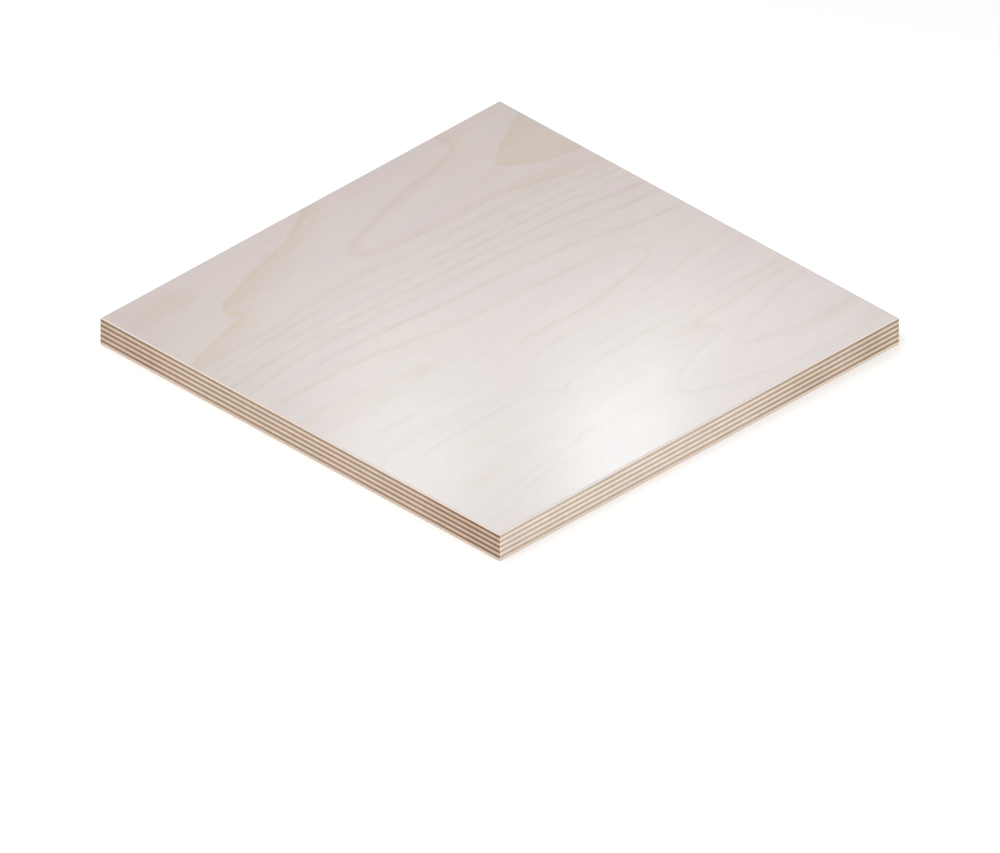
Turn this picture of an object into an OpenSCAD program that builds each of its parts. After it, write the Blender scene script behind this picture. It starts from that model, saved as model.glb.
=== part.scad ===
// Small square sheet of plywood, lying flat on its back veneer.
// Thin wooden plies are glued face to face with their grain turned a quarter turn from ply to ply.
// The face veneer is sanded thin, and its arrises are eased with a long slope almost down to the first ply.
// The back veneer is left thicker than the plies, and only its sharp corners are taken off.
// Origin: centre of the underside. +Z up through the thickness, +X along the grain of the face.

/* [Sheet] */
// Length of the sheet along the grain of its face, X
sheet_l = 270; // [50:1:2440]
// Width of the sheet across the grain of its face, Y
sheet_w = 270; // [50:1:1220]
// Thickness of the sheet, sanded on both sides
sheet_t = 15; // [6:0.5:40]

/* [Plies] */
// How many plies there are in all, an odd number
ply_count = 11; // [3:2:21]
// Thickness of the face veneer after sanding
face_t = 0.45; // [0.2:0.05:2]
// Thickness of the back veneer
back_t = 1.68; // [0.4:0.02:2]

/* [Edges] */
// How far in from the edge the slope of the face's arrises starts
face_arris_run = 0.8; // [0.1:0.1:2]
// How far down the edge that slope reaches
face_arris_drop = 0.4; // [0.05:0.05:1.5]
// How far the sharp arrises of the underside and the upright corners are taken off
small_arris = 0.15; // [0.05:0.05:0.5]

/* [Hidden] */
// The plies between face and back share what thickness is left.
inner_count = ply_count - 2;
inner_t = (sheet_t - face_t - back_t) / inner_count;
// How far past the sheet the two eased sections are drawn, so that their own ends cut nothing.
reach = 10;

// Counted upwards from the back veneer, odd inner plies lie across the grain and even ones along it.
function crosses(i) = i % 2 == 1;
function inner_name(i) = crosses(i)
    ? str("cross_ply_", (i + 1) / 2)
    : str("long_ply_", i / 2);
// Height of the glue line under inner ply i, to a whole micron, so that two plies meet in one plane.
function glue_z(i) = round(1000 * (back_t + (i - 1) * inner_t)) / 1000;

inner_names = [for (i = [1 : inner_count]) inner_name(i)];

// The sheet seen from above: a sawn rectangle with its four upright corners just taken off.
module outline() {
    x = sheet_l / 2;
    y = sheet_w / 2;
    a = small_arris;
    polygon([
        [x - a, -y], [x, -y + a], [x, y - a], [x - a, y],
        [-x + a, y], [-x, y - a], [-x, -y + a], [-x + a, -y]
    ]);
}

// The sheet's section across a width, with its sloped arrises at the top and the bottom.
module eased_section(w) {
    x = w / 2;
    a = small_arris;
    top_in = x - face_arris_run;
    top_z = sheet_t - face_arris_drop;
    polygon([
        [-x + a, 0], [x - a, 0], [x, a], [x, top_z],
        [top_in, sheet_t], [-top_in, sheet_t], [-x, top_z], [-x, a]
    ]);
}

// Everything inside the sloped arrises of both faces.
module eased_block() {
    intersection() {
        translate([0, sheet_w / 2 + reach, 0]) rotate([90, 0, 0])
            linear_extrude(sheet_w + 2 * reach) eased_section(sheet_l);
        translate([-sheet_l / 2 - reach, 0, 0]) rotate([90, 0, 90])
            linear_extrude(sheet_l + 2 * reach) eased_section(sheet_w);
    }
}

// One ply of the glued sheet, from one height to another, after sawing and sanding.
module ply(low, high) {
    intersection() {
        translate([0, 0, low]) linear_extrude(high - low) outline();
        eased_block();
    }
}

// The thin veneer on top, the one meant to be seen. Its grain runs along X.
module face_veneer() {
    color([0.93, 0.89, 0.86]) ply(glue_z(inner_count + 1), sheet_t);
}

// The veneer that the sheet lies on. Its grain runs along X too.
module back_veneer() {
    color([0.86, 0.79, 0.72]) ply(0, glue_z(1));
}

// One ply between the outer veneers, dark where its grain runs along Y and light where it runs along X.
module inner_ply(i) {
    shade = crosses(i) ? [0.66, 0.58, 0.50] : [0.85, 0.77, 0.70];
    color(shade) ply(glue_z(i), glue_z(i + 1));
}

back_veneer();
for (i = [1 : inner_count])
    inner_ply(i);
face_veneer();
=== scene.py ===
import math

import bmesh
import bpy
import numpy as np
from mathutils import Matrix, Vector


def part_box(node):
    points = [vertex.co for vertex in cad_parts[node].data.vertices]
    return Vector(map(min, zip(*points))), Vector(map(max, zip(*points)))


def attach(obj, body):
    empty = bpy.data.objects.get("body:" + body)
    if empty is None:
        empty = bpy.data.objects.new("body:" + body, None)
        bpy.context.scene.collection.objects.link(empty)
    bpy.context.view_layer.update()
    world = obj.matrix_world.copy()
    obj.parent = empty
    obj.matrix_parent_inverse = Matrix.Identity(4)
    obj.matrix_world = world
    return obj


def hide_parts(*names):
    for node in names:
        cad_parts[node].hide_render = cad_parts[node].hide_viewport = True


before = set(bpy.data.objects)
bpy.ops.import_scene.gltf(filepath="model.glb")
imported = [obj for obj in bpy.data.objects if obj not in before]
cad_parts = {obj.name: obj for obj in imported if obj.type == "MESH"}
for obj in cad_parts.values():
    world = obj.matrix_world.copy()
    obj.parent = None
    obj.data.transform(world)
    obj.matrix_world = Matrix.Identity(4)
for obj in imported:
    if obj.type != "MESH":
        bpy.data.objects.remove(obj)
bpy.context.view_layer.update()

mm = 0.001

# sizes taken from the solids
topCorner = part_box("face_veneer")[1]
halfX = topCorner.x / mm
halfY = topCorner.y / mm
innerCount = 9  # inner plies, cross and long by turns
plyNames = ["back_veneer"]
for level in range(1, innerCount + 1):
    kind = "cross" if level % 2 else "long"
    plyNames.append(f"{kind}_ply_{(level + 1) // 2}")
plyNames.append("face_veneer")
print("plies, from the underside up:", ", ".join(plyNames))


def plyHeights(name):
    lowest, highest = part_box(name)
    return lowest.z / mm, highest.z / mm


# the whole sheet, in millimetres
sheet = {
    "cornerArris": 0.15,  # the four upright corners and the foot
    "glueWaver": 0.045,  # how far a glue line wanders up and down
    "glueWaves": (7, 19, 43, 90),  # the lengths of its waves
    "underFace": 0.4,  # the share of that wander under the face veneer
    "capMargin": 1.4,  # glue faces are flat further in than this
    "sawDepth": 0.03,  # saw marks across all the plies
    "sawWaves": (2.3, 5.1, 11),
    "fibreDepth": 0.03,  # each ply's own roughness on end grain, half of it along the grain
    "fibreWaves": (1.9, 3.7),
    "endSink": 0.012,  # end grain lies this much deeper
    "creaseAngle": 24,  # in degrees: sharper turns keep a hard edge
}
seeds = {"arris": 3, "saw": 7, "fibres": 40, "glue": 100}


# helpers for shapes
def waver(x, y, seed, waves, amount):
    # a sum of slow sines, the same for two plies that meet; those along Y are a little shorter
    picks = np.random.default_rng(seed)
    total = np.zeros(len(x))
    for wave in waves:
        turn = picks.uniform(0, 2 * math.pi, 2)
        total += np.sin(x * 2 * math.pi / wave + turn[0])
        total += np.sin(y * 2 * math.pi / (wave * 0.87) + turn[1])
    return amount * total / (2 * len(waves))


def ringOfPoints(inset, columns):
    # places round the sheet, inset millimetres in from its sides, with the outward direction at each
    xs, ys, outs = [], [], []
    cut = max(inset, sheet["cornerArris"])
    share = np.linspace(-1, 1, columns + 1)
    sides = (
        ((0, -1), (1, 0), halfY, halfX),
        ((1, 0), (0, 1), halfX, halfY),
        ((0, 1), (-1, 0), halfY, halfX),
        ((-1, 0), (0, -1), halfX, halfY),
    )
    for outward, along, reach, half in sides:
        run = share * (half - cut)
        xs.append(outward[0] * (reach - inset) + along[0] * run)
        ys.append(outward[1] * (reach - inset) + along[1] * run)
        outs.append(np.tile(outward, (columns + 1, 1)))
    return np.concatenate(xs), np.concatenate(ys), np.concatenate(outs).astype(float)


def stitch(faces, lower, upper):
    # joins two rings of vertices with quads, and with triangles where two vertices of a ring are one
    count = len(lower)
    for at in range(count):
        after = (at + 1) % count
        corners = [lower[at], lower[after], upper[after], upper[at]]
        kept = [v for i, v in enumerate(corners) if v not in corners[:i]]
        if len(kept) > 2:
            faces.append(kept)


def fan(faces, ring, centre, upward):
    count = len(ring)
    for at in range(count):
        after = (at + 1) % count
        faces.append([ring[at], ring[after], centre] if upward else [ring[after], ring[at], centre])


def makePiece(name, points, faces, node, material):
    mesh = bpy.data.meshes.new(name)
    mesh.from_pydata([tuple(p) for p in np.array(points) * mm], [], faces)
    work = bmesh.new()
    work.from_mesh(mesh)
    bmesh.ops.remove_doubles(work, verts=work.verts, dist=0.001 * mm)  # where two sides share a corner
    bmesh.ops.dissolve_degenerate(work, edges=work.edges, dist=0.0001 * mm)
    bmesh.ops.recalc_face_normals(work, faces=work.faces)
    work.to_mesh(mesh)
    work.free()
    mesh.shade_smooth()
    mesh.set_sharp_from_angle(angle=math.radians(sheet["creaseAngle"]))
    piece = bpy.data.objects.new(name, mesh)
    bpy.context.scene.collection.objects.link(piece)
    mesh.materials.append(material)
    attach(piece, "root")
    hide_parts(node)
    return piece


# helpers for nodes
def tone(red, green, blue):
    # a paint-chip colour, 0 to 255, as the linear colour a shader takes
    parts = []
    for value in (red, green, blue):
        part = value / 255
        parts.append(part / 12.92 if part <= 0.04045 else ((part + 0.055) / 1.055) ** 2.4)
    return (*parts, 1.0)


class Tree:
    # short calls for adding nodes to a material or a group
    def __init__(self, tree):
        self.tree = tree

    def add(self, kind, inputs=None, **settings):
        node = self.tree.nodes.new(kind)
        for key, value in settings.items():
            setattr(node, key, value)
        for key, value in (inputs or {}).items():
            self.give(node.inputs[key], value)
        return node

    def give(self, socket, value):
        if isinstance(value, bpy.types.NodeSocket):
            self.tree.links.new(value, socket)
        else:
            socket.default_value = value

    def math(self, operation, first, second=0.0, third=0.0, clamp=False):
        node = self.tree.nodes.new("ShaderNodeMath")
        node.operation = operation
        node.use_clamp = clamp
        for socket, value in zip(node.inputs, (first, second, third)):
            self.give(socket, value)
        return node.outputs[0]

    def centred(self, value, amount):
        # a value from 0 to 1 becomes one from minus amount to amount
        return self.math("MULTIPLY_ADD", value, 2 * amount, -amount)

    def split(self, vector):
        return self.add("ShaderNodeSeparateXYZ", {0: vector}).outputs

    def between(self, share, first, second):
        # a number between two others
        return self.add("ShaderNodeMix", {0: share, 2: first, 3: second}, data_type="FLOAT").outputs[0]

    def scaled(self, vector, by):
        node = self.tree.nodes.new("ShaderNodeVectorMath")
        node.operation = "MULTIPLY"
        self.give(node.inputs[0], vector)
        self.give(node.inputs[1], by)
        return node.outputs[0]

    def noise(self, vector, detail, rough, distort=0.0):
        node = self.add("ShaderNodeTexNoise", {"Vector": vector, "Scale": 1.0, "Detail": detail})
        node.inputs["Roughness"].default_value = rough
        node.inputs["Distortion"].default_value = distort
        return node.outputs["Fac"]

    def ramp(self, value, start, end, toLow=0.0, toHigh=1.0, soft=True):
        node = self.tree.nodes.new("ShaderNodeMapRange")
        node.interpolation_type = "SMOOTHSTEP" if soft else "LINEAR"
        node.clamp = True
        keys = ("Value", "From Min", "From Max", "To Min", "To Max")
        for key, item in zip(keys, (value, start, end, toLow, toHigh)):
            self.give(node.inputs[key], item)
        return node.outputs["Result"]

    def mix(self, share, first, second, blend="MIX"):
        node = self.tree.nodes.new("ShaderNodeMix")
        node.data_type = "RGBA"
        node.blend_type = blend
        node.clamp_factor = True
        self.give(node.inputs[0], share)
        self.give(node.inputs[6], first)
        self.give(node.inputs[7], second)
        return node.outputs[2]

    def shade(self, colour, factor):
        # colour times one number
        grey = self.add("ShaderNodeCombineColor", {"Red": factor, "Green": factor, "Blue": factor})
        return self.mix(1.0, colour, grey.outputs[0], "MULTIPLY")

    def vary(self, colour, by, strength):
        # lighter and darker by a value round zero
        return self.shade(colour, self.math("MULTIPLY_ADD", by, strength, 1.0))

    def stretched(self, lengths):
        # how often a pattern of the given length and width, in millimetres, repeats in a metre
        along = self.math("DIVIDE", 1000.0, lengths["Length"])
        aside = self.math("DIVIDE", 1000.0, lengths["Width"])
        return self.add("ShaderNodeCombineXYZ", {"X": along, "Y": aside, "Z": aside}).outputs[0]

    def use(self, group, inputs):
        node = self.tree.nodes.new("ShaderNodeGroup")
        node.node_tree = group
        for key, value in inputs.items():
            self.give(node.inputs[key], value)
        return node


def newGroup(name, inputs, outputs):
    group = bpy.data.node_groups.new(name, "ShaderNodeTree")
    kinds = {"value": "NodeSocketFloat", "vector": "NodeSocketVector"}
    for label, kind, value in inputs:
        socket = group.interface.new_socket(name=label, in_out="INPUT", socket_type=kinds[kind])
        if value is not None:
            socket.default_value = value
    for label, kind in outputs:
        group.interface.new_socket(name=label, in_out="OUTPUT", socket_type=kinds[kind])
    tree = Tree(group)
    return tree, group, tree.add("NodeGroupInput").outputs, tree.add("NodeGroupOutput").inputs


# fine fibres that run along X of the coordinates, with short dark pores among them
tree, fibreGrain, given, result = newGroup(
    "fibreGrain",
    [
        ("Coords", "vector", None), ("Length", "value", 14.0), ("Width", "value", 0.35),
        ("Pores", "value", 0.5),
    ],
    [("Tone", "value"), ("Height", "value")],
)
stretch = tree.stretched(given)
fibres = tree.noise(tree.scaled(given["Coords"], stretch), 3.0, 0.6, 0.15)
poreStretch = tree.scaled(stretch, (5.0, 0.9, 0.9))
pores = tree.ramp(tree.noise(tree.scaled(given["Coords"], poreStretch), 1.0, 0.5), 0.64, 0.76)
pores = tree.math("MULTIPLY", pores, given["Pores"])
spread = tree.centred(fibres, 1.0)
tree.give(result["Tone"], tree.math("SUBTRACT", spread, pores))
tree.give(result["Height"], tree.math("SUBTRACT", tree.math("MULTIPLY", spread, 0.4), pores))

# soft clouds of lighter and darker wood, longer along X
tree, patchyTone, given, result = newGroup(
    "patchyTone",
    [("Coords", "vector", None), ("Length", "value", 90.0), ("Width", "value", 22.0)],
    [("Tone", "value"), ("Hue", "value")],
)
stretch = tree.stretched(given)
place = tree.scaled(given["Coords"], stretch)
tree.give(result["Tone"], tree.centred(tree.noise(place, 3.0, 0.55, 0.4), 1.0))
moved = tree.add("ShaderNodeVectorMath", {0: place, 1: (31.0, 17.0, 5.0)}, operation="ADD").outputs[0]
tree.give(result["Hue"], tree.centred(tree.noise(moved, 2.0, 0.5, 0.3), 1.0))

# one growth ring: a dark line, crisper on one side, a shade that fades on the other and a paler rim before it
# Ring holds how far across the line a place is, in millimetres, then how dark the line and its shade are
tree, ringLine, given, result = newGroup(
    "ringLine",
    [("Ring", "vector", None), ("Wobble", "value", 0.0), ("Evenness", "value", 1.0)],
    [("Line", "value"), ("Shade", "value"), ("Rim", "value")],
)
parts = tree.split(given["Ring"])
across = tree.math("ADD", parts["X"], tree.math("ADD", given["Wobble"], 0.4))
gate = tree.ramp(across, -1.2, 0.8)
core = tree.math("MULTIPLY", gate, tree.ramp(across, 0.3, 3.1, 1.0, 0.0))
halo = tree.ramp(tree.math("ABSOLUTE", across), 0.0, 4.5, 0.26, 0.0)
line = tree.math("MULTIPLY", tree.math("ADD", core, halo), parts["Y"])
tree.give(result["Line"], tree.math("MULTIPLY", line, given["Evenness"]))
tree.give(result["Shade"], tree.math("MULTIPLY", tree.ramp(across, -1.2, 1.4), parts["Z"]))
rim = tree.math("MULTIPLY", tree.ramp(across, -3.6, -2.0), tree.ramp(across, -1.8, -0.7, 1.0, 0.0))
tree.give(result["Rim"], tree.math("MULTIPLY", rim, parts["Y"]))

# how the sawn and sanded edge of a veneer looks: end grain where the grain runs out through the side
tree, sawnEdge, given, result = newGroup(
    "sawnEdge",
    [("Coords", "vector", None), ("Normal", "vector", None), ("Grain along Y", "value", 0.0)],
    [("Tone", "value"), ("Side X", "value"), ("Height", "value")],
)
facing = tree.split(given["Normal"])
sideX = tree.ramp(tree.math("ABSOLUTE", facing["X"]), 0.4, 0.6)
flipped = tree.math("ABSOLUTE", tree.math("SUBTRACT", sideX, given["Grain along Y"]))  # 1 on end grain
saw = tree.noise(tree.scaled(given["Coords"], (900.0, 900.0, 90.0)), 2.0, 0.6)
dots = tree.noise(tree.scaled(given["Coords"], (2600.0, 2600.0, 2200.0)), 2.0, 0.6)
streaks = tree.noise(tree.scaled(given["Coords"], (110.0, 110.0, 3200.0)), 3.0, 0.6)
grain = tree.between(flipped, streaks, dots)
tree.give(result["Tone"], tree.math("ADD", tree.centred(saw, 0.45), tree.centred(grain, 0.55)))
tree.give(result["Side X"], sideX)
tree.give(result["Height"], tree.math("ADD", tree.math("MULTIPLY", saw, 0.6), grain))

# darker towards the ends of the sawn edges: 0 not darkened, 1 darkest
endDarkening = {
    "nearLeft": (-0.045, 0.9),  # where it starts along the sheet, in metres, and how dark the end is
    "farLeft": (0.06, 0.65),
    "right": (-0.03, 0.78),
    "blotches": 0.45,
}
tree, edgeEndsDarker, given, result = newGroup(
    "edgeEndsDarker",
    [("Coords", "vector", None), ("Side X", "value", 0.0)],
    [("Age", "value")],
)
place = tree.split(given["Coords"])
nearStart, nearDark = endDarkening["nearLeft"]
farStart, farDark = endDarkening["farLeft"]
rightStart, rightDark = endDarkening["right"]
ends = tree.ramp(place["Y"], -halfY * mm, nearStart, nearDark, 0.0)
ends = tree.math("ADD", ends, tree.ramp(place["Y"], farStart, halfY * mm, 0.0, farDark))
rightEnd = tree.ramp(place["X"], rightStart, halfX * mm, 0.0, rightDark)
endDark = tree.between(given["Side X"], rightEnd, ends)
blotch = tree.noise(tree.scaled(given["Coords"], (45.0, 45.0, 60.0)), 2.0, 0.55)
tree.give(result["Age"], tree.math("ADD", endDark, tree.centred(blotch, endDarkening["blotches"]), clamp=True))
print("node groups made")


def newMaterial(name):
    material = bpy.data.materials.new(name)
    material.use_nodes = True
    material.node_tree.nodes.clear()
    tree = Tree(material.node_tree)
    shader = tree.add("ShaderNodeBsdfPrincipled")
    output = tree.add("ShaderNodeOutputMaterial")
    tree.tree.links.new(shader.outputs[0], output.inputs[0])
    coords = tree.add("ShaderNodeTexCoord").outputs["Object"]
    normal = tree.add("ShaderNodeNewGeometry").outputs["Normal"]
    return material, tree, shader, coords, normal


def addBump(tree, shader, height, depth, strength):
    bump = tree.add("ShaderNodeBump", {"Height": height, "Distance": depth, "Strength": strength})
    tree.give(shader.inputs["Normal"], bump.outputs[0])


# the face veneer's growth rings, in millimetres
ringShape = {
    "pathStep": 1.5,
    "endFade": 9,
    "lineReach": (3, 6),  # the dark line fades out between these
    "meeting": (0.6, 4.0),  # how a line fades where its reach meets the next one's
    "farthest": 40,
    "shadeFall": 1.3,  # above 1 the shade falls off faster
}

# warm and grey lines, each in two layers, so that neighbours in one layer stand well apart
# paths are in hundredths of the sheet's length and width from its near left corner
# soft is the side of the line its shade lies on: 1 left of the way it is drawn, -1 right
# shade is how far that reaches in millimetres; line and fill are how dark each part is
# shift moves the dark line towards its crisp side, in millimetres
ringLines = {
    "warmOne": [
        dict(soft=-1, shade=17, line=0.48, fill=0.76, shift=0.5, path=(
            (-2, 76), (2, 78), (8, 79.7), (13.5, 81.2), (17.6, 82), (18, 83.2), (16.9, 84.8),
            (18.6, 87.4), (22, 88.6), (30, 91.4), (39, 93.6), (43.5, 95.5), (49.4, 98.8), (53, 102))),
        dict(soft=1, shade=45, line=0.42, fill=0.8, path=(
            (103, 96.4), (99.4, 94.6), (92.4, 90.8), (89, 88.8), (85.1, 85.7), (88, 82.8), (91.8, 80.6),
            (99, 79.3), (103, 79))),
        dict(soft=1, shade=6, line=0.5, fill=0.36, shift=0.7, path=(
            (1, 57.6), (6, 57.9), (18, 57.9), (27, 57), (36, 55.2), (45, 53.9), (54, 53.5), (64, 52.9),
            (73, 52.5), (78.5, 51.5), (82.3, 50.2), (84.1, 47.4), (82.2, 45.5), (76.5, 43.9), (70, 42.6),
            (63.7, 41.7), (57, 41.9), (50, 42), (44, 42.6))),
    ],
    "warmTwo": [
        dict(soft=1, shade=9, line=0.3, fill=0.64, path=(
            (83, 103), (83.3, 99.5), (83.6, 96.2), (82.3, 94.7), (76.6, 92.9), (67.7, 91.4), (57.5, 88.6),
            (50, 86.2), (46.6, 84.4), (45.4, 82.8), (47.4, 81), (50.5, 79.8), (57.3, 79.2), (67.5, 78.2),
            (73.3, 78.4), (80.3, 77.6), (89, 75.5), (95.6, 74.2), (103, 73))),
        dict(soft=-1, shade=6, line=0.22, fill=0.27, shift=0.5, path=(
            (-3, 50.6), (2, 50.8), (9, 51.1), (18, 50.3), (24, 49.6), (29, 48.8), (30.5, 47.8),
            (27, 46.2), (20, 45.4), (10.4, 44.6), (1, 45.6), (-3, 46))),
        dict(soft=-1, shade=3, line=0.36, fill=0.12, shift=-0.7, path=(
            (31, 36.3), (39, 36.8), (45.5, 37.2), (50, 38), (56.7, 38), (63.7, 38.2), (73.3, 38.6),
            (82.8, 39.7), (91, 41), (99.4, 42.5), (103, 43))),
    ],
    "greyOne": [
        dict(soft=1, shade=5, line=0.42, fill=0.42, shift=1.0, path=(
            (3, 76.5), (8, 76), (16, 75.8), (26, 76.4), (36, 77.2), (43, 77.3), (50, 76.3), (58, 75.6),
            (70, 75.3), (82, 74.4), (92, 72.6), (103, 71.2))),
        dict(soft=1, shade=3, line=0.6, fill=0.08, path=(
            (-3, 70), (4, 70.6), (12, 71), (26, 71.2), (40, 70.6), (50, 70.2), (63.7, 69.5), (82.8, 68.6),
            (92.4, 67.5), (103, 66.4))),
        dict(soft=1, shade=5, line=0.58, fill=0.46, shift=0.5, path=(
            (-3, 63.2), (4, 64), (12, 65.2), (20, 65.9), (32, 65.6), (50, 64.7), (63.7, 64), (73.3, 63.1),
            (82.8, 61.7), (89.2, 60.5), (103, 59))),
        dict(soft=-1, shade=4, line=0.55, fill=0.1, path=(
            (6, 38.5), (13.6, 38.7), (20, 38.8), (28.4, 39))),
        dict(soft=1, shade=3, line=0.27, fill=0.04, path=(
            (14, 30.4), (28, 30.7), (39, 30.7), (50, 31), (60.5, 31.6), (70, 31.9), (83, 31.9),
            (92.4, 31.7), (103, 31.3))),
        dict(soft=-1, shade=7, line=0.2, fill=0.2, path=(
            (63, 35.8), (76.5, 36.3), (86, 36.3), (91, 37.6), (103, 39.6))),
        dict(soft=-1, shade=10, line=0.55, fill=0.32, path=(
            (103, 25.9), (99.4, 25.8), (92, 25.6), (86, 24.9), (80, 24.6), (74.8, 24.4), (72.6, 23.4),
            (73.9, 22.2), (75.6, 20.7), (74.4, 19.3), (70.7, 18.3), (65, 16.5), (60.5, 14.8),
            (56.8, 12.3), (56.1, 11), (57.3, 9.2), (61, 7.6), (66.3, 5.9), (70, 4.7), (76.5, 3.6),
            (99, 3.1), (103, 3))),
        dict(soft=-1, shade=4, line=0.5, fill=0.1, path=(
            (-3, 7), (2, 7.6), (7, 8.4), (13.6, 9.8), (20, 11.1), (29.5, 11.8), (33.3, 13), (38, 14.2))),
    ],
    "greyTwo": [
        dict(soft=1, shade=3, line=0.75, fill=0.1, path=(
            (-3, 72.9), (4, 73.1), (15, 73.5), (26, 74.1), (36, 74.4), (44, 73.2), (50, 72.3), (63, 71.8),
            (76.5, 71.5), (84, 70.9), (92, 70), (103, 69))),
        dict(soft=1, shade=3, line=0.85, fill=0.15, path=(
            (-3, 66.8), (3, 67.5), (10, 68.3), (22, 68.6), (36, 68.2), (50, 67.3), (63.7, 66.8),
            (76.5, 65.9), (86, 65.2), (92.4, 64), (103, 62.6))),
        dict(soft=1, shade=5, line=0.76, fill=0.38, path=(
            (14, 61.4), (21, 62), (28, 61.6), (36, 61), (44, 60.3), (50, 59.8), (57.3, 59.5),
            (67.5, 58.6), (76.5, 57.4), (83, 56), (89, 54.6), (95.6, 53.6), (103, 53.1))),
        dict(soft=-1, shade=7, line=0.6, fill=0.18, path=(
            (6, 27.8), (15.5, 28.8), (26.3, 29.1), (33, 28.8), (38.3, 28.1), (40.3, 26.7), (41.7, 25.4),
            (43.3, 26.3), (45, 27.2), (47.4, 27.9), (57.3, 28.5), (70, 28.7), (83, 28.6), (103, 28.7))),
        dict(soft=-1, shade=4, line=0.2, fill=0.06, path=(
            (43.6, 24.6), (42, 22.6), (39.4, 20.2), (40.4, 18.8), (43.2, 19.4))),
        dict(soft=-1, shade=3, line=0.3, fill=0.06, path=(
            (27, 43.7), (36, 43.8), (44, 44.6))),
        dict(soft=1, shade=3, line=0.3, fill=0.05, path=(
            (4, 32.8), (17, 33.6), (26, 33.2), (36, 32.4))),
        dict(soft=-1, shade=9, line=0.4, fill=0.36, path=(
            (103, 22.9), (99.4, 22.6), (91, 21), (86, 19.4), (80.3, 17.2), (76.5, 16), (74.6, 14.5),
            (76.4, 13.3), (80, 12.6), (86, 11.2), (92.4, 10.5), (99.4, 10.7), (103, 10.8))),
        dict(soft=-1, shade=4, line=0.45, fill=0.1, path=(
            (-3, 3.4), (1, 3.8), (7, 4.7), (11, 6), (15.5, 7.9), (23, 8.9), (32, 9.2))),
    ],
}

# soft stains: middle, half length and half width in hundredths of the sheet, then how dark
ringStains = (
    (6, 94.4, 7, 2.2, 0.12), (13, 95, 7, 2.4, 0.42), (10, 92.4, 8, 1.6, 0.25),
    (26, 86, 9, 4.5, 0.2), (80.5, 78.7, 4.5, 0.9, 0.25), (89, 77.6, 5, 1.6, 0.35),
    (86.5, 97.4, 3.4, 2, 0.2), (75, 92.2, 3, 0.9, 0.12),
    (27.9, 47.8, 3.2, 1.2, 0.62), (17, 46.7, 1.6, 0.9, 0.55), (10, 48.4, 9, 1.9, 0.3),
    (92, 48, 6, 4, 0.16), (20, 24.2, 7, 1.5, 0.3), (10.4, 14.9, 3.6, 1.1, 0.5), (15, 15.4, 8, 2, 0.25),
    (71.5, 24, 4.8, 1.3, 0.38), (70, 21.8, 5, 1.8, 0.2), (16, 5.2, 2.5, 1, 0.25), (94, 9.6, 7, 1.6, 0.3),
    (42, 24, 2.6, 2.6, 0.22), (60, 97.5, 4.5, 2, 0.22),
    (30, 54, 14, 8, 0.13), (62, 31, 12, 7, 0.12), (50, 20, 9, 6, 0.1),
)


def smoothPath(path):
    # a rounded line through the given places, in millimetres from the sheet's middle
    knots = np.array(path, float) / 100 * (2 * halfX, 2 * halfY) - (halfX, halfY)
    knots = np.vstack([2 * knots[0] - knots[1], knots, 2 * knots[-1] - knots[-2]])
    dense = []
    for at in range(1, len(knots) - 2):
        before, start, end, after = knots[at - 1 : at + 3]
        count = max(2, int(np.linalg.norm(end - start) / ringShape["pathStep"]))
        for t in np.arange(count) / count:
            slope = (end - before) * t
            bend = (2 * before - 5 * start + 4 * end - after) * t**2
            twist = (3 * start - before - 3 * end + after) * t**3
            dense.append(0.5 * (2 * start + slope + bend + twist))
    dense.append(knots[-2])
    return np.array(dense)


def measureLine(places, path):
    # distance to a path, signed + on its left, and how far along it the nearest point is
    near = np.full(len(places), 1e6)
    side = np.ones(len(places))
    way = np.zeros(len(places))
    behind = 0.0
    for start, end in zip(path[:-1], path[1:]):
        length = np.linalg.norm(end - start)
        step = (end - start) / length
        offset = places - start
        run = np.clip(offset @ step, 0, length)
        gap = np.hypot(offset[:, 0] - run * step[0], offset[:, 1] - run * step[1])
        closer = gap < near
        near[closer] = gap[closer]
        side[closer] = np.where(step[0] * offset[closer, 1] - step[1] * offset[closer, 0] < 0, -1, 1)
        way[closer] = behind + run[closer]
        behind += length
    return near, side, way, behind


def softStep(value, start, end):
    t = np.clip((value - start) / (end - start), 0, 1)
    return t * t * (3 - 2 * t)


def ringValues(places, lines):
    # at each place: distance across the nearest line, how dark its line is, how dark its shade is
    spec = ringShape
    near = np.full(len(places), 1e6)
    second = np.full(len(places), 1e6)
    values = np.zeros((len(places), 3))
    for line in lines:
        gap, side, way, length = measureLine(places, smoothPath(line["path"]))
        ends = softStep(way, 0, spec["endFade"]) * softStep(length - way, 0, spec["endFade"])
        dark = line["line"] * ends * (1 - softStep(gap, *spec["lineReach"]))
        shade = line["fill"] * ends * (1 - softStep(gap, 0, line["shade"])) ** spec["shadeFall"]
        closer = gap < near
        second = np.where(closer, near, np.minimum(second, gap))
        near = np.where(closer, gap, near)
        across = gap * side * line["soft"] + line.get("shift", 0.0)
        values[closer] = np.stack([across, dark, shade], 1)[closer]
    values[:, 1:] *= softStep(second - near, *spec["meeting"])[:, None]
    values[:, 0] = np.clip(values[:, 0], -spec["farthest"], spec["farthest"])
    return values


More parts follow.
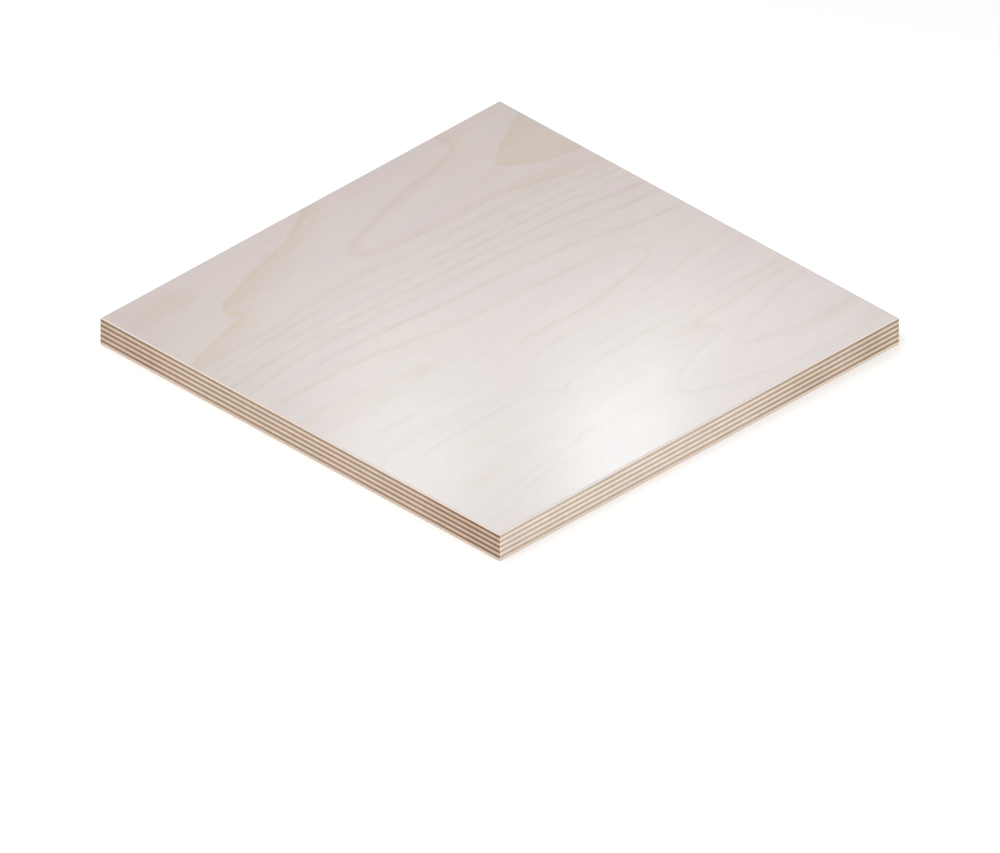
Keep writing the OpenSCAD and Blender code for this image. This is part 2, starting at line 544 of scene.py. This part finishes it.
# the face veneer
faceVeneer = {
    "gridColumns": 180,  # squares along each side of the face
    "arrisRows": (  # each row's place in from the side and down from the face, in millimetres
        (1.25, 0.0), (0.98, 0.0), (0.8, 0.018), (0.62, 0.098), (0.32, 0.242), (0.0, 0.4),
    ),
    "arrisWear": 0.02,  # how unevenly its middle rows are worn, in millimetres
    "arrisWaves": (9, 23, 61),
    "leastSide": 0.41,  # the glue line stays this far below the face
    "wood": tone(204, 191, 185),
    "pinker": tone(201, 186, 183),
    "arrisLeftPaintedLight": tone(230, 215, 203),  # the worn edge, each side with its own painted light, side by side: towards X-, towards Y-, the other two
    "arrisRightPaintedLight": tone(235, 223, 213),
    "arrisBackPaintedLight": tone(196, 186, 181),
    "warmLine": (0.895, 0.825, 0.63, 1.0),  # what a full-strength line lets through
    "greyLine": (0.875, 0.85, 0.765, 1.0),
    "stain": (0.9, 0.86, 0.66, 1.0),
    "lineStrength": 0.45,
    "rimStrength": 0.014,
    "grain": {"Length": 5.0, "Width": 0.55, "Pores": 0.4},
    "grainStrength": 0.08,
    "patches": {"Length": 70.0, "Width": 14.0},
    "patchStrength": 0.03,
    "streaks": {"Length": 26.0, "Width": 3.2},
    "streakStrength": 0.024,
    "roughness": 0.38,
    "wornRoughness": 0.12,  # more on the arris
    "coat": 0.5,
    "coatRoughness": 0.235,
    "bumpDepth": 0.00002,  # in metres
}


def faceMaterial():
    spec = faceVeneer
    material, tree, shader, coords, normal = newMaterial("faceBirch")
    grain = tree.use(fibreGrain, {"Coords": coords, **spec["grain"]}).outputs
    patches = tree.use(patchyTone, {"Coords": coords, **spec["patches"]}).outputs
    streaks = tree.use(patchyTone, {"Coords": coords, **spec["streaks"]}).outputs

    # the wood between the lines
    hue = tree.math("MULTIPLY_ADD", patches["Hue"], 0.9, 0.4, clamp=True)
    colour = tree.mix(hue, spec["wood"], spec["pinker"])
    cloud = tree.math("MULTIPLY", patches["Tone"], spec["patchStrength"])
    streak = tree.math("MULTIPLY", streaks["Tone"], spec["streakStrength"])
    fibre = tree.math("MULTIPLY", grain["Tone"], spec["grainStrength"])
    varied = tree.math("ADD", tree.math("ADD", cloud, streak), fibre)
    colour = tree.shade(colour, tree.math("ADD", varied, 1.0))

    # the growth lines, which drift, fray and come and go as they run
    drift = tree.noise(tree.scaled(coords, (140.0, 900.0, 300.0)), 3.0, 0.6)
    fray = tree.noise(tree.scaled(coords, (260.0, 2400.0, 300.0)), 2.0, 0.6)
    wobble = tree.math("ADD", tree.centred(drift, 0.8), tree.centred(fray, 0.7))
    along = tree.noise(tree.scaled(coords, (60.0, 90.0, 60.0)), 2.0, 0.5)
    uneven = tree.ramp(along, 0.3, 0.7, 0.45, 1.25, soft=False)
    for name in ("greyOne", "greyTwo", "warmOne", "warmTwo"):
        ring = tree.add("ShaderNodeAttribute", attribute_name=name).outputs["Vector"]
        marks = tree.use(ringLine, {"Ring": ring, "Wobble": wobble, "Evenness": uneven}).outputs
        colour = tree.vary(colour, marks["Rim"], spec["rimStrength"])
        dark = tree.math("ADD", marks["Line"], marks["Shade"])
        dark = tree.math("MULTIPLY", dark, spec["lineStrength"], clamp=True)
        tint = spec["warmLine"] if name.startswith("warm") else spec["greyLine"]
        colour = tree.mix(dark, colour, tint, "MULTIPLY")

    # the stains
    stains = tree.add("ShaderNodeAttribute", attribute_name="stain").outputs["Fac"]
    mottle = tree.math("MULTIPLY_ADD", fray, 0.9, 0.25)
    stains = tree.math("MULTIPLY", stains, mottle, clamp=True)
    colour = tree.mix(stains, colour, spec["stain"], "MULTIPLY")

    # the worn arris, where the face turns down, with painted light that differs side by side
    facing = tree.split(normal)
    arris = tree.ramp(facing["Z"], 0.9, 0.985, 1.0, 0.0)
    turnsRight = tree.ramp(facing["Y"], -0.3, -0.1, 1.0, 0.0)
    turnsLeft = tree.ramp(facing["X"], -0.3, -0.1, 1.0, 0.0)
    # painted light: each side of the arris gets its own lighter or darker copy of the worn colour
    arrisPaintedLight = tree.mix(turnsRight, spec["arrisBackPaintedLight"], spec["arrisRightPaintedLight"])
    arrisPaintedLight = tree.mix(turnsLeft, arrisPaintedLight, spec["arrisLeftPaintedLight"])
    tree.give(shader.inputs["Base Color"], tree.mix(arris, colour, arrisPaintedLight))

    # a thin satin finish
    gloss = tree.math("MULTIPLY_ADD", grain["Tone"], -0.05, spec["roughness"])
    dulled = tree.math("MULTIPLY", arris, spec["wornRoughness"])
    tree.give(shader.inputs["Roughness"], tree.math("ADD", gloss, dulled))
    shader.inputs["Coat Weight"].default_value = spec["coat"]
    shader.inputs["Coat Roughness"].default_value = spec["coatRoughness"]
    addBump(tree, shader, grain["Height"], spec["bumpDepth"], 0.6)
    return material


def ringOf(points, xs, ys, zs):
    first = len(points)
    points.extend(zip(xs, ys, zs))
    return list(range(first, len(points)))


def glueHeight(level, x, y):
    # height of the glue line under a ply, which is flat only away from the sides
    base = plyHeights(plyNames[level])[0]
    amount = sheet["glueWaver"] * (sheet["underFace"] if level == len(plyNames) - 1 else 1.0)
    return base + waver(x, y, seeds["glue"] + level, sheet["glueWaves"], amount)


def edgeRelief(level, x, y, z, outs):
    # how far the sawn edge lies back from the true line, in millimetres
    longGrain = (outs[:, 1] != 0) if level % 2 == 0 else (outs[:, 0] != 0)
    saw = np.abs(waver(x, y, seeds["saw"], sheet["sawWaves"], sheet["sawDepth"]))
    fibres = waver(x + 3 * z, y - 3 * z, seeds["fibres"] + level, sheet["fibreWaves"], sheet["fibreDepth"])
    return saw + np.abs(fibres) * np.where(longGrain, 0.5, 1.0) + np.where(longGrain, 0.0, sheet["endSink"])


def closeFlat(points, faces, ring, count, inset, height, onTop):
    # the top or underside of a ply: a narrow border that takes up the ring's waves, then flat
    xs, ys = ringOfPoints(inset, count)[:2]
    inner = ringOf(points, xs, ys, np.full(len(xs), height))
    if onTop:
        stitch(faces, ring, inner)
    else:
        stitch(faces, inner, ring)
    points.append((0.0, 0.0, height))
    fan(faces, inner, len(points) - 1, onTop)


def makeFaceVeneer():
    spec = faceVeneer
    level = len(plyNames) - 1
    bottom, top = plyHeights("face_veneer")
    count = spec["gridColumns"]
    inset = spec["arrisRows"][0][0]
    points, faces = [], []

    # the flat of the face
    xs = np.linspace(-(halfX - inset), halfX - inset, count + 1)
    ys = np.linspace(-(halfY - inset), halfY - inset, count + 1)
    for y in ys:
        points.extend((x, y, top) for x in xs)
    wide = count + 1
    for row in range(count):
        for column in range(count):
            at = row * wide + column
            faces.append([at, at + 1, at + 1 + wide, at + wide])
    above = list(range(wide))
    above += [r * wide + count for r in range(wide)]
    above += [count * wide + count - c for c in range(wide)]
    above += [(count - r) * wide for r in range(wide)]

    # the arris, the thin side and the glued underside
    for into, drop in spec["arrisRows"][1:]:
        xs, ys = ringOfPoints(into, count)[:2]
        wear = np.zeros(len(xs))
        if 0.0 < drop < spec["arrisRows"][-1][1]:
            wear = np.abs(waver(xs, ys, seeds["arris"], spec["arrisWaves"], spec["arrisWear"]))
        ring = ringOf(points, xs, ys, top - drop - wear)
        stitch(faces, ring, above)
        above = ring
    xs, ys = ringOfPoints(0.0, count)[:2]
    ring = ringOf(points, xs, ys, np.minimum(glueHeight(level, xs, ys), top - spec["leastSide"]))
    stitch(faces, ring, above)
    closeFlat(points, faces, ring, count, sheet["capMargin"], bottom, False)
    piece = makePiece("faceVeneer", points, faces, "face_veneer", faceMaterial())

    # the figure, kept at each point of the mesh for the material to draw
    mesh = piece.data
    places = np.zeros(len(mesh.vertices) * 3, np.float32)
    mesh.vertices.foreach_get("co", places)
    places = places.reshape(-1, 3)[:, :2] / mm
    for name, lines in ringLines.items():
        values = ringValues(places, lines)
        data = mesh.attributes.new(name, "FLOAT_VECTOR", "POINT").data
        data.foreach_set("vector", values.astype(np.float32).ravel())
    stain = np.zeros(len(places))
    share = (places + (halfX, halfY)) / (2 * halfX, 2 * halfY) * 100
    for middleX, middleY, halfLong, halfWide, dark in ringStains:
        away = ((share[:, 0] - middleX) / halfLong) ** 2 + ((share[:, 1] - middleY) / halfWide) ** 2
        stain = 1 - (1 - stain) * (1 - dark * np.exp(-away))
    mesh.attributes.new("stain", "FLOAT", "POINT").data.foreach_set("value", stain.astype(np.float32))


# the inner plies
innerPly = {
    "columns": 360,  # steps along each side
    "rows": (0.0, 0.12, 0.5, 0.88, 1.0),  # heights within a ply
    # painted shade: the sides facing X take a darker copy of each wood than the sides facing Y
    "lightShadedOnX": tone(224, 205, 188),
    "lightLitOnY": tone(236, 222, 210),
    "darkShadedOnX": tone(164, 138, 116),
    "darkLitOnY": tone(190, 173, 158),
    "lightEndTint": (0.79, 0.715, 0.64, 1.0),  # what the darkest end of an edge lets through
    "darkEndTint": (0.56, 0.43, 0.32, 1.0),
    "olive": (0.995, 0.995, 0.965, 1.0),
    "pink": (1.0, 0.985, 0.968, 1.0),
    "contrast": 0.24,  # how strongly the grain shows
    "patches": {"Length": 24.0, "Width": 24.0},
    "patchStrength": 0.12,
    "roughness": 0.62,
    "bumpDepth": 0.00004,  # in metres
}


def edgeMaterial(name, onXShaded, onYLit, endTint, grainAlongY):
    spec = innerPly
    material, tree, shader, coords, normal = newMaterial(name)
    edge = tree.use(sawnEdge, {"Coords": coords, "Normal": normal, "Grain along Y": grainAlongY}).outputs
    patches = tree.use(patchyTone, {"Coords": coords, **spec["patches"]}).outputs
    # painted shade on the sides facing X, the lighter copy on the sides facing Y
    colour = tree.mix(edge["Side X"], spec[onYLit], spec[onXShaded])
    colour = tree.vary(colour, edge["Tone"], spec["contrast"])
    colour = tree.vary(colour, patches["Tone"], spec["patchStrength"])
    tint = tree.mix(tree.ramp(patches["Hue"], -0.25, 0.25), spec["olive"], spec["pink"])
    colour = tree.mix(1.0, colour, tint, "MULTIPLY")
    endDark = tree.use(edgeEndsDarker, {"Coords": coords, "Side X": edge["Side X"]}).outputs["Age"]
    colour = tree.mix(endDark, colour, spec[endTint], "MULTIPLY")
    tree.give(shader.inputs["Base Color"], colour)
    rough = tree.math("MULTIPLY_ADD", edge["Tone"], -0.1, spec["roughness"])
    tree.give(shader.inputs["Roughness"], rough)
    addBump(tree, shader, edge["Height"], spec["bumpDepth"], 0.7)
    return material


def makeWall(points, faces, level, count, shares):
    # the four sides of a ply, row by row from its foot or lower glue line to its upper one
    xs, ys, outs = ringOfPoints(0.0, count)
    lower = glueHeight(level, xs, ys) if level else sheet["cornerArris"]
    upper = glueHeight(level + 1, xs, ys)
    rings = []
    for share in shares:
        height = lower + (upper - lower) * share
        back = edgeRelief(level, xs, ys, height, outs)
        rings.append(ringOf(points, xs - outs[:, 0] * back, ys - outs[:, 1] * back, height))
    for below, above in zip(rings[:-1], rings[1:]):
        stitch(faces, below, above)
    return rings[0], rings[-1]


def makeInnerPly(level, material):
    name = plyNames[level]
    bottom, top = plyHeights(name)
    count, margin = innerPly["columns"], sheet["capMargin"]
    points, faces = [], []
    below, above = makeWall(points, faces, level, count, innerPly["rows"])
    closeFlat(points, faces, below, count, margin, bottom, False)
    closeFlat(points, faces, above, count, margin, top, True)
    words = name.split("_")
    makePiece(f"{words[0]}Ply{words[2]}", points, faces, name, material)


# the back veneer
backVeneer = {
    "columns": 360,  # steps along each side
    "rows": (0.0, 0.2, 0.6, 0.9, 1.0),  # heights above the foot's arris
    "footBorder": 0.6,  # in millimetres
    "wood": tone(218, 205, 195),
    "darker": tone(208, 192, 179),
    "ringLine": tone(186, 163, 141),
    "rings": 24.0,  # growth rings that the knife cut through
    "grain": {"Length": 11.0, "Width": 0.5, "Pores": 0.6},
    "grainStrength": 0.04,
    "patches": {"Length": 120.0, "Width": 26.0},
    # painted shade: the sides facing X take a darker copy than the sides facing Y
    "edgeShadedOnX": tone(219, 199, 181),
    "edgeLitOnY": tone(228, 210, 192),
    "edgeContrast": 0.14,
    "foot": tone(206, 194, 184),
    "footHeight": (0.0002, 0.0005),  # in metres: its tone fades out between these
    "roughness": 0.55,
    "bumpDepth": 0.00004,
}


def backMaterial():
    spec = backVeneer
    material, tree, shader, coords, normal = newMaterial("backBirch")
    grain = tree.use(fibreGrain, {"Coords": coords, **spec["grain"]}).outputs
    patches = tree.use(patchyTone, {"Coords": coords, **spec["patches"]}).outputs

    # the underside: rings cut at a slant, so each fades in slowly and ends in a dark line
    field = tree.noise(tree.scaled(coords, (3.4, 15.0, 1.0)), 1.0, 0.4, 0.5)
    fray = tree.noise(tree.scaled(coords, (120.0, 1500.0, 1.0)), 2.0, 0.6)
    rings = tree.math("MULTIPLY_ADD", fray, 0.09, tree.math("MULTIPLY", field, spec["rings"]))
    rings = tree.math("FRACT", rings)
    line = tree.math("MULTIPLY", tree.ramp(rings, 0.7, 0.93), tree.ramp(rings, 0.95, 1.0, 1.0, 0.0))
    along = tree.noise(tree.scaled(coords, (11.0, 28.0, 1.0)), 2.0, 0.5)
    uneven = tree.ramp(along, 0.35, 0.65, 0.1, 0.6, soft=False)
    ringMask = tree.math("MULTIPLY", tree.math("MULTIPLY_ADD", rings, 0.14, line), uneven)
    hue = tree.math("MULTIPLY_ADD", patches["Hue"], 0.8, 0.4, clamp=True)
    colour = tree.mix(hue, spec["wood"], spec["darker"])
    colour = tree.mix(ringMask, colour, spec["ringLine"])
    colour = tree.vary(colour, grain["Tone"], spec["grainStrength"])

    # its sawn edge, with painted shade on the sides facing X, duller at the foot
    edge = tree.use(sawnEdge, {"Coords": coords, "Normal": normal, "Grain along Y": 0.0}).outputs
    sawn = tree.mix(edge["Side X"], spec["edgeLitOnY"], spec["edgeShadedOnX"])
    nearFoot = tree.ramp(tree.split(coords)["Z"], *spec["footHeight"], 1.0, 0.0)
    sawn = tree.vary(tree.mix(nearFoot, sawn, spec["foot"]), edge["Tone"], spec["edgeContrast"])

    upright = tree.math("ABSOLUTE", tree.split(normal)["Z"])
    tree.give(shader.inputs["Base Color"], tree.mix(tree.ramp(upright, 0.4, 0.6), sawn, colour))
    rough = tree.math("MULTIPLY_ADD", grain["Tone"], -0.06, spec["roughness"])
    tree.give(shader.inputs["Roughness"], rough)
    addBump(tree, shader, grain["Height"], spec["bumpDepth"], 0.7)
    return material


def makeBackVeneer():
    spec = backVeneer
    name = plyNames[0]
    bottom, top = plyHeights(name)
    count, arris = spec["columns"], sheet["cornerArris"]
    points, faces = [], []
    below, above = makeWall(points, faces, 0, count, spec["rows"])
    closeFlat(points, faces, above, count, sheet["capMargin"], top, True)
    xs, ys = ringOfPoints(arris, count)[:2]
    foot = ringOf(points, xs, ys, np.full(len(xs), bottom))
    stitch(faces, foot, below)
    closeFlat(points, faces, foot, count, arris + spec["footBorder"], bottom, False)
    makePiece("backVeneer", points, faces, name, backMaterial())


makeBackVeneer()
lightBirch = edgeMaterial("lightBirch", "lightShadedOnX", "lightLitOnY", "lightEndTint", 0.0)
darkBirch = edgeMaterial("darkBirch", "darkShadedOnX", "darkLitOnY", "darkEndTint", 1.0)
for level in range(1, innerCount + 1):
    if level % 2:
        makeInnerPly(level, darkBirch)
    else:
        makeInnerPly(level, lightBirch)
makeFaceVeneer()
print("eleven veneers made")

# floor, light and camera, in metres and watts
studio = {
    "floorTone": (0.95, 0.95, 0.95, 1.0),
    "floorReach": 1.0,
    "floorRoughness": 0.9,
    "floorSpecular": 0.1,
    "floorGlow": (0.15, 0.15, 0.15, 1.0),
    "floorGlowFar": (0.42, 0.42, 0.42, 1.0),  # makes up for the lamps' light falling off
    "glowFrom": 0.35,
    "world": 0.5,
    "lamps": (  # name, place, width and height, power; all aim at the middle of the floor
        ("overhead", (-0.37, 0.1, 1.1), (1.2, 1.2), 7.8),
        ("fillLeft", (-1.5, -0.4, 0.5), (1.2, 0.8), 1.8),
        ("fillRight", (0.4, -1.5, 0.5), (1.2, 0.8), 5.4),
    ),
    "daylight": (0.868, 0.968, 0.992),
    "coolDaylight": (0.83, 1.0, 1.04),
    "softboxes": (  # where each is mirrored in the face, how far off it is, width and height, power, tint
        ((-0.132, -0.066), 0.55, (0.06, 0.06), 0.0205, "coolDaylight"),
        ((-0.05, -0.13), 0.55, (0.05, 0.05), 0.0285, "coolDaylight"),
        ((-0.11, -0.1), 0.38, (0.2, 0.2), 0.0115, "coolDaylight"),
        ((-0.01, -0.13), 0.5, (0.5, 0.14), 0.06, "daylight"),
        ((0.06, -0.12), 0.5, (0.12, 0.08), 0.018, "daylight"),
    ),
    "softboxSpread": 90,  # degrees
}

reach = studio["floorReach"]
corners = [(-reach, -reach, 0), (reach, -reach, 0), (reach, reach, 0), (-reach, reach, 0)]
floorMesh = bpy.data.meshes.new("floor")
floorMesh.from_pydata(corners, [], [(0, 1, 2, 3)])
floor = bpy.data.objects.new("floor", floorMesh)
bpy.context.scene.collection.objects.link(floor)
floorPaint, tree, shader, coords = newMaterial("floorPaint")[:4]
shader.inputs["Base Color"].default_value = studio["floorTone"]
shader.inputs["Roughness"].default_value = studio["floorRoughness"]
shader.inputs["Specular IOR Level"].default_value = studio["floorSpecular"]
away = tree.add("ShaderNodeVectorMath", {0: coords}, operation="LENGTH").outputs["Value"]
outwards = tree.ramp(away, studio["glowFrom"], reach)
glow = tree.mix(outwards, studio["floorGlow"], studio["floorGlowFar"])
tree.give(shader.inputs["Emission Color"], glow)
shader.inputs["Emission Strength"].default_value = 1.0
floorMesh.materials.append(floorPaint)

world = bpy.data.worlds.new("studio")
bpy.context.scene.world = world
world.use_nodes = True
background = world.node_tree.nodes["Background"]
background.inputs["Color"].default_value = (1.0, 1.0, 1.0, 1.0)
tree = Tree(world.node_tree)  # plain white to look at, softer as light
seen = tree.add("ShaderNodeLightPath").outputs["Is Camera Ray"]
tree.give(background.inputs["Strength"], tree.ramp(seen, 0.0, 1.0, studio["world"], 1.0, soft=False))

# the camera looks down on the near left corner, with no perspective
view = {
    "azimuth": -45.0,  # degrees
    "elevation": 32.97,
    "frameWidth": 0.4779,
    "middle": (0.0, 0.0, 0.0146),
    "distance": 1.5,
    "lift": 0.0516,  # the sheet stands this far above the middle of the frame
    "aside": -0.00015,
    "clip": (0.01, 20.0),
}
azimuth, elevation = math.radians(view["azimuth"]), math.radians(view["elevation"])
outward = math.cos(elevation)
back = Vector((math.sin(azimuth) * outward, -math.cos(azimuth) * outward, math.sin(elevation)))
right = Vector((math.cos(azimuth), math.sin(azimuth), 0.0))
up = back.cross(right)
cameraData = bpy.data.cameras.new("camera")
cameraData.type = "ORTHO"
cameraData.ortho_scale = view["frameWidth"]
cameraData.clip_start, cameraData.clip_end = view["clip"]
camera = bpy.data.objects.new("camera", cameraData)
bpy.context.scene.collection.objects.link(camera)
camera.location = Vector(view["middle"]) + back * view["distance"]
camera.location -= up * view["lift"] + right * view["aside"]
camera.rotation_mode = "QUATERNION"
camera.rotation_quaternion = (-back).to_track_quat("-Z", "Y")
bpy.context.scene.camera = camera


def addLight(name, place, target, size, power, colour=(1.0, 1.0, 1.0)):
    lamp = bpy.data.lights.new(name, "AREA")
    lamp.shape = "RECTANGLE"
    lamp.size, lamp.size_y = size
    lamp.energy = power
    lamp.color = colour
    item = bpy.data.objects.new(name, lamp)
    bpy.context.scene.collection.objects.link(item)
    item.location = place
    item.rotation_mode = "QUATERNION"
    item.rotation_quaternion = (Vector(target) - Vector(place)).to_track_quat("-Z", "Y")
    return lamp


for name, place, size, power in studio["lamps"]:
    addLight(name, place, (0, 0, 0), size, power)
mirrored = Vector((-back.x, -back.y, back.z))  # the way the camera's look leaves the face
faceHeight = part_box("face_veneer")[1].z
for number, (spot, distance, size, power, tint) in enumerate(studio["softboxes"]):
    spot = Vector((*spot, faceHeight))
    lamp = addLight(f"softbox{number}", spot + mirrored * distance, spot, size, power, studio[tint])
    lamp.spread = math.radians(studio["softboxSpread"])

bpy.context.scene.view_settings.view_transform = "Standard"
print("studio made")
